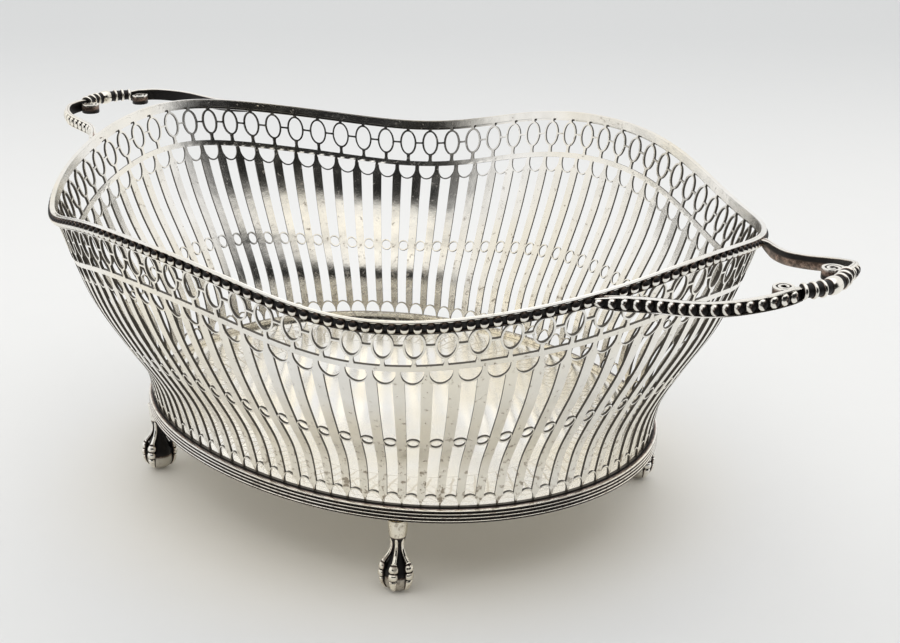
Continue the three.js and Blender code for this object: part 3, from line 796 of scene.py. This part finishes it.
handle = {
    "rootAngle": math.radians(18), "rootRise": 0.65, "rootDepth": 3.1,
    "length": 38.6, "waist": 25.5, "high": 3.8, "thick": 1.4,
    "lift": {"right": 6.7, "left": 0.9}, "levelBelow": 2, "clearance": 0.3, "lineSteps": 400,
    # Place along the handle, width: 1 at the rim's, 0 at the waist's, -1 at the grip's
    "plan": np.array([
        [0, 1], [0.13, 0.5], [0.27, 0.16], [0.45, 0], [0.64, -0.07], [0.8, -0.24],
        [0.93, -0.51], [0.98, -0.78], [1, -1],
    ]),
    # Out, down, how oxidised
    "profile": np.array([
        [-0.62, 0.05, 0.0], [-0.62, 0.35, 0.95], [-0.62, 1.2, 0.95], [-0.60, 2.2, 0.5],
        [-0.55, 3.78, 0.4], [0.60, 3.80, 0.3], [0.78, 3.66, 0.0], [0.70, 3.46, 0.1],
        [0.22, 3.36, 1.0], [0.16, 1.9, 1.0], [0.22, 0.50, 1.0], [0.66, 0.42, 0.1],
        [0.80, 0.24, 0.0], [0.66, 0.02, 0.0], [0.10, 0.0, 0.0], [0.0, 0.10, 0.6],
        [-0.10, 0.0, 0.0], [-0.50, 0.0, 0.0],
    ]),
    "armSteps": 72, "flare": 2.4, "flareLength": 8.0, "into": 3.4, "intoSteps": 5,
    "endTaper": 0.25, "endLength": 3.0, "startTaper": 0.75, "startLength": 9.0,
    "bead": (1.25, 1.58, 1.0), "beadOut": 0.42, "beadPitch": 3.1, "beadTighter": 0.03,
    "beadStart": 1.0, "beadStop": 1.5, "beadTaper": 0.6, "beadsAtMost": 40,
    "beadSides": 16, "beadRings": 13,
    "scrollRadius": 2.95, "scrollEye": 0.6, "scrollThick": 0.9, "scrollThinner": 0.15,
    "scrollGap": 0.06, "scrollInset": 1.3, "scrollStations": 200, "scrollDrop": 0.9,
    "scrollTurns": 2.0, "scrollSteps": 72, "scrollBevel": 0.15,
    "gripLength": 18.4, "gripSeat": 0.25, "gripBow": 2.6, "gripRise": 0.5, "gripRadius": 2.3,
    "gripTaper": 0.06, "gripSides": 32, "gripSteps": 180, "ribHeight": 0.55, "ribDark": 0.24,
    # Place along the grip, half width, height
    "ribs": np.array([
        [-0.4, 1.8, 0.55], [-4.3, 0.42, 0.5], [-6.7, 0.42, 0.5], [3.4, 0.42, 0.5],
        [5.8, 0.42, 0.5], [8.6, 0.42, 0.5], [-9.0, 0.42, 0.45],
    ]),
}


def walkedAlong(line):
    # Length from the line's start to each point
    return np.concatenate([[0], np.cumsum(np.linalg.norm(np.diff(line, axis=0), axis=1))])


def valuesAt(places, walked, values):
    return np.stack([np.interp(places, walked, values[:, k]) for k in range(3)], -1)


def bowLine(count, lift):
    # Smooth line through stations from the rim to the grip, for the right handle's back arm
    h = handle
    root = wallPoint(h["rootAngle"], bowl["levels"][-1, 0], h["rootDepth"])
    root = root + np.array([0, 0, h["rootRise"]])
    along, width = h["plan"].T
    gripEnd = h["gripLength"] / 2 + h["clearance"]
    reach = np.where(width > 0, root[1] - h["waist"], h["waist"] - gripEnd)
    across = h["waist"] + width * reach
    stations = np.stack([root[0] + h["length"] * along, across, root[2] + lift * along ** 2], -1)
    gaps = np.sqrt(np.linalg.norm(np.diff(stations, axis=0), axis=1))
    length = np.concatenate([[0], np.cumsum(gaps)])
    slope = np.gradient(stations, length, axis=0)
    s = np.linspace(0, length[-1], h["lineSteps"])
    low = np.clip(np.searchsorted(length, s, "right") - 1, 0, len(length) - 2)
    span = (length[low + 1] - length[low])[:, None]
    t = (s - length[low])[:, None] / span
    line = cubic(stations[low], stations[low + 1], span * slope[low], span * slope[low + 1], t)
    walked = walkedAlong(line)
    return valuesAt(np.linspace(0, walked[-1], count), walked, line), walked[-1]


def bowFrames(line):
    # Level directions along the line and out of the bow
    ahead = np.gradient(line, axis=0)
    ahead[:, 2] = 0
    ahead /= np.linalg.norm(ahead, axis=1, keepdims=True)
    out = np.stack([-ahead[:, 1], ahead[:, 0], 0 * ahead[:, 0]], -1)
    return ahead, out


def armLine(lift):
    # The bow's line run on straight into the rim, with how far each point lies along it
    h = handle
    line, _ = bowLine(h["armSteps"], lift)
    ahead, _ = bowFrames(line)
    started = line[0] - ahead[0] * h["into"]
    line = np.concatenate([np.linspace(started, line[0], h["intoSteps"])[:-1], line])
    return line, walkedAlong(line)


def armRibbon(lift):
    # A channelled ribbon swept along the bow; at the rim its top widens inwards
    h = handle
    line, walked = armLine(lift)
    _, out = bowFrames(line)
    flare = h["flare"] * np.clip(1 - walked / h["flareLength"], 0, 1) ** 2
    ending = np.clip((walked - walked[-1] + h["endLength"]) / h["endLength"], 0, 1) ** 2
    starting = np.clip(1 - walked / h["startLength"], 0, 1) ** 2
    lower = ending * h["endTaper"] + starting * h["startTaper"]
    profile = h["profile"]
    inner = np.where((profile[:, 0] < 0) & (profile[:, 1] < 1.0), 1.0, 0.0)
    wide = profile[None, :, 0] - inner * flare[:, None]
    deep = profile[None, :, 1] + lower[:, None] * (1 - profile[None, :, 1] / (h["high"] / 2))
    grid = line[:, None] + out[:, None] * wide[..., None]
    grid[..., 2] -= deep
    shade = np.tile(profile[:, 2], (len(line), 1))
    if lift < h["levelBelow"]:  # painted shade: the level handle's inner faces are black all over
        shade = np.where((profile[:, 0] < 0) & (profile[:, 1] > 0.1), 1.0, shade)
    return tube(grid[None], shade)


def armBeads(lift):
    # Ellipsoids in the channel, smaller at the rim and a little closer towards the grip
    h = handle
    line, walked = armLine(lift)
    gaps = h["beadPitch"] - h["beadTighter"] * np.arange(h["beadsAtMost"])
    places = h["beadStart"] + np.cumsum(gaps) - gaps
    places = places[places < walked[-1] - h["beadStop"]]
    spots, ahead, out = (valuesAt(places, walked, v)[:, None, None] for v in (line, *bowFrames(line)))
    longitude = onceRound(h["beadSides"])[None, :, None]
    latitude = np.linspace(-math.pi / 2, math.pi / 2, h["beadRings"])[:, None, None]
    depth = np.cos(latitude) * np.cos(longitude)
    rise = np.cos(latitude) * np.sin(longitude)
    along, high, deep = h["bead"]
    high = high - h["beadTaper"] * np.clip(1 - places / h["startLength"], 0, 1) ** 2
    grid = spots + out * h["beadOut"] + ahead * along * np.sin(latitude) + out * deep * depth
    grid[..., 2] -= h["high"] / 2 + high[:, None, None] * rise[None, ..., 0]
    # painted shade on each bead's side towards the grip and near the channel floor
    gripSidePaintedShade = np.clip((np.sin(latitude) + 0.3 - 0.9 * np.abs(rise)) * 5.0, 0, 1)
    dark = np.maximum(np.clip(0.4 - depth * 1.2, 0, 1), gripSidePaintedShade)[..., 0]
    return tiles(grid, dark, closeColumns=True)


def scrollPart(lift):
    # A flat spiral band that lies against the arm's end
    h = handle
    line, length = bowLine(h["scrollStations"] + 1, lift)
    ahead, out = bowFrames(line)
    place = int(round((1 - h["scrollInset"] / length) * h["scrollStations"]))
    seat = line[place]
    outer = h["scrollRadius"] + h["scrollThick"] / 2
    centre = seat - out[place] * (h["thick"] / 2 + h["scrollGap"] + outer)
    share = np.linspace(0, 1, h["scrollSteps"])[:, None]
    turn = (share * h["scrollTurns"] * fullTurn)[..., None]
    radius = h["scrollRadius"] + (h["scrollEye"] - h["scrollRadius"]) * share
    half = h["scrollThick"] / 2 * (1 - h["scrollThinner"] * share)
    ray = out[place] * np.cos(turn) - ahead[place] * np.sin(turn)
    top = h["scrollDrop"]
    upper = [[1, top + h["scrollBevel"]], [0.8, top], [-0.8, top], [-1, top + h["scrollBevel"]]]
    profile = np.array(upper + [[-1, 3.6], [-0.8, 3.8], [0.8, 3.8], [1, 3.6]])
    grid = centre + ray * (radius + half * profile[None, :, 0])[..., None]
    grid[..., 2] = seat[2] - profile[None, :, 1]
    dark = np.tile([0.3, 0.0, 0.0, 0.9, 1.0, 1.0, 1.0, 1.0], (h["scrollSteps"], 1))
    return tube(grid[None], dark)


def gripPart(lift):
    # Radius is a slim bar plus half round ribs, each ring square to the bar's bow
    h = handle
    line, _ = bowLine(3, lift)
    end = line[-1] + np.array([0, 0, h["gripRise"] - h["high"] / 2])
    half = h["gripLength"] / 2 + h["gripSeat"]
    along = np.linspace(-half, half, h["gripSteps"])[:, None]
    middle, reach, height = h["ribs"].T[:, None]
    lifted = (height * np.sqrt(np.clip(1 - ((along - middle) / reach) ** 2, 0, 1))).max(1)[:, None]
    radius = (h["gripRadius"] - h["ribHeight"] + lifted) * (1 - h["gripTaper"] * (along / half) ** 2)
    turn = onceRound(h["gripSides"])[None]
    bend = h["gripBow"] * (1 - (along / half) ** 2)
    lean = np.arctan(2 * h["gripBow"] * along / half ** 2)
    out = radius * np.cos(turn)
    x = end[0] + bend + out * np.cos(lean)
    y = along + out * np.sin(lean)
    grid = np.stack([x, y, end[2] + radius * np.sin(turn)], -1)
    dark = np.clip(1.2 - lifted / h["ribDark"], 0, 1) + 0 * turn
    return tube(grid[None], dark)


def mirrored(part, sign):
    # The front arm is the back arm's mirror image
    points, quads, shade, uv = part
    if sign > 0:
        return part
    return points * np.array([1, -1, 1]), quads[:, ::-1], shade[:, ::-1], uv[:, ::-1]


for side, x in (("right", 1), ("left", -1)):
    aim = 0 if x > 0 else math.pi
    lift = handle["lift"][side]
    for end, sign in (("front", -x), ("back", x)):
        label, corner = side.title() + end.title(), f"{side}_{end}"
        bow = [armRibbon(lift), armBeads(lift), scrollPart(lift)]
        *arm, scroll = (placed(mirrored(part, sign), aim, (0, 0, 0)) for part in bow)
        makePiece("beadedArm" + label, arm, oxidisedSilver, ["arm_" + corner], 40)
        makePiece("scroll" + label, [scroll], polishedSilver, ["scroll_" + corner], 40)
    grip = [placed(gripPart(lift), aim, (0, 0, 0))]
    makePiece("ribbedGrip" + side.title(), grip, oxidisedSilver, ["grip_" + side], 60)
print("handles made")


# Floor, light and camera

studio = {
    # the far, near and unlit floor colours and the floor's glow are painted light
    "floorRadius": 3.0, "floorRings": 12, "floorSides": 64, "floorRough": 0.6, "floorPaintedGlow": 0.1,
    "floorColor": (0.685, 0.685, 0.675), "floorPaintedFalloff": (0.54, 0.547, 0.547),
    "floorPaintedWarmLight": (0.70, 0.675, 0.615), "floorUnlit": (0.03, 0.03, 0.03),
    "paintedWarmLightZone": (0.06, 0.12), "behindZone": (0.25, 1.1), "frontZone": (-0.02, 0.3),
    "frontShare": 0.75, "unlitZone": (0.41, 0.53), "mottle": 0.06, "mottleScale": 60.0,
    "backdrop": (0.80, 0.81, 0.81), "surround": 0.92, "overhead": 1.3, "overheadZone": (0.62, 0.9),
    "opening": 0.015, "openingAim": math.radians(-30), "openingZone": (0.3, 0.62),
    "openingTop": (0.58, 0.68), "lampPlace": (0.12, -0.12, 1.4), "lampSize": 1.8, "lampEnergy": 8.2,
}


def floorDisc():
    # Pale disc with painted light: a painted warm tint under the basket, painted falloff that greys it
    # behind the basket and in front, painted darkness beyond the camera, and a faint painted glow
    s = studio
    sides = s["floorSides"]
    share = np.linspace(0, 1, s["floorRings"])[:, None]
    turn = onceRound(sides)[None]
    r = s["floorRadius"] * share
    points = np.stack([r * np.cos(turn), r * np.sin(turn), 0 * r * turn], -1).reshape(-1, 3)
    quads = gridQuads(s["floorRings"], sides, False, True)[sides:].tolist()
    mesh = bpy.data.meshes.new("floor")
    mesh.from_pydata(points.tolist(), [], quads + [list(range(sides, 2 * sides))])
    mesh.update()
    floor = bpy.data.objects.new("floor", mesh)
    bpy.context.scene.collection.objects.link(floor)
    material, flow = startMaterial("paleFloor")
    place = flow.node("TexCoord", None, None, "Object")
    mottle = noise(flow, place, s["mottleScale"], 2.0)
    x, y = (flow.node("SeparateXYZ", None, {"Vector": place}, k) for k in range(2))
    # painted light falloff: the floor greys behind the basket and in front
    behind = y - x
    front = 0.0 - behind
    inFront = s["frontShare"] * front.between(*s["frontZone"])
    paintedFalloff = flow.maths("MAXIMUM", behind.between(*s["behindZone"]), inFront)
    # painted warm reflected light in the shadow under the basket
    warmLight = 1 - flow.maths("SQRT", x * x + y * y, 0.0).between(*s["paintedWarmLightZone"])
    lit = (paintedFalloff + s["mottle"] * mottle).mixed(color(*s["floorColor"]), color(*s["floorPaintedFalloff"]))
    lit = warmLight.mixed(lit, color(*s["floorPaintedWarmLight"]))
    # painted darkness on the floor beyond the camera
    tone = front.between(*s["unlitZone"]).mixed(lit, color(*s["floorUnlit"]))
    shown = {"Base Color": tone, "Roughness": s["floorRough"]}
    # the floor glows faintly: painted light that lifts its shadows
    finishMaterial(flow, shown | {"Emission Color": tone, "Emission Strength": s["floorPaintedGlow"]})
    mesh.materials.append(material)


def surround():
    # White all round but for a dark opening on the camera's side, as in a light tent
    s = studio
    white, bright, dark = (color(s[k], s[k], s[k]) for k in ("surround", "overhead", "opening"))
    world = bpy.data.worlds.new("tent")
    bpy.context.scene.world = world
    world.use_nodes = True
    tree = world.node_tree
    tree.nodes.clear()
    flow = Flow(tree)
    aim = flow.node("TexCoord", None, None, "Generated")
    x, y, z = (flow.node("SeparateXYZ", None, {"Vector": aim}, k) for k in range(3))
    level = flow.maths("SQRT", x * x + y * y, 0.0) + 0.0001  # never zero
    facing = (x * math.cos(s["openingAim"]) + y * math.sin(s["openingAim"])) / level
    opening = facing.between(*s["openingZone"]) * (1 - z.between(*s["openingTop"]))
    light = opening.mixed(z.between(*s["overheadZone"]).mixed(white, bright), dark)
    ray = flow.node("LightPath")
    seen = ray.mixed(light, color(*s["backdrop"]))
    background = flow.node("Background", None, {"Color": seen, "Strength": 1.0})
    flow.node("OutputWorld", None, {"Surface": background})


def pose(right, up, back, place):
    rows = [[right[k], up[k], back[k], place[k]] for k in range(3)]
    return Matrix(rows + [[0, 0, 0, 1]])


def softLamp():
    # Large square lamp that looks down at the basket
    s = studio
    lamp = bpy.data.lights.new("overhead", "AREA")
    lamp.shape = "SQUARE"
    lamp.size = s["lampSize"]
    lamp.energy = s["lampEnergy"]
    holder = bpy.data.objects.new("overhead", lamp)
    bpy.context.scene.collection.objects.link(holder)
    holder.visible_glossy = False  # polished faces mirror the tent alone
    back = np.array(s["lampPlace"]) / np.linalg.norm(s["lampPlace"])
    side = np.cross([0, 1, 0], back)
    side /= np.linalg.norm(side)
    holder.matrix_world = pose(side, np.cross(back, side), back, s["lampPlace"])


# The photograph's camera: angles in degrees, lengths in mm, focal length and width in pixels
view = {
    "azimuth": 44.841, "elevation": 20.292, "roll": 0.568, "distance": 530.89,
    "across": 15.89, "up": 9.34, "aim": (0, 0, 40), "focal": 1745.0, "frameWidth": 900,
    "sensor": 36, "clipStart": 0.01,
}


def placeCamera():
    v = view
    turn, tilt, roll = (math.radians(v[k]) for k in ("azimuth", "elevation", "roll"))
    back = np.array([math.sin(turn) * math.cos(tilt), -math.cos(turn) * math.cos(tilt), math.sin(tilt)])
    level = np.array([math.cos(turn), math.sin(turn), 0])
    top = np.cross(back, level)
    right = math.cos(roll) * level + math.sin(roll) * top
    up = math.cos(roll) * top - math.sin(roll) * level
    spot = np.array(v["aim"]) + right * v["across"] + up * v["up"] + back * v["distance"]
    lens = bpy.data.cameras.new("camera")
    lens.sensor_width = v["sensor"]
    lens.lens = v["sensor"] * v["focal"] / v["frameWidth"]
    lens.clip_start = v["clipStart"]
    camera = bpy.data.objects.new("camera", lens)
    bpy.context.scene.collection.objects.link(camera)
    camera.matrix_world = pose(right, up, back, spot * millimetre)
    bpy.context.scene.camera = camera


floorDisc()
surround()
softLamp()
placeCamera()
bpy.context.scene.view_settings.view_transform = "Standard"
print("stage made")
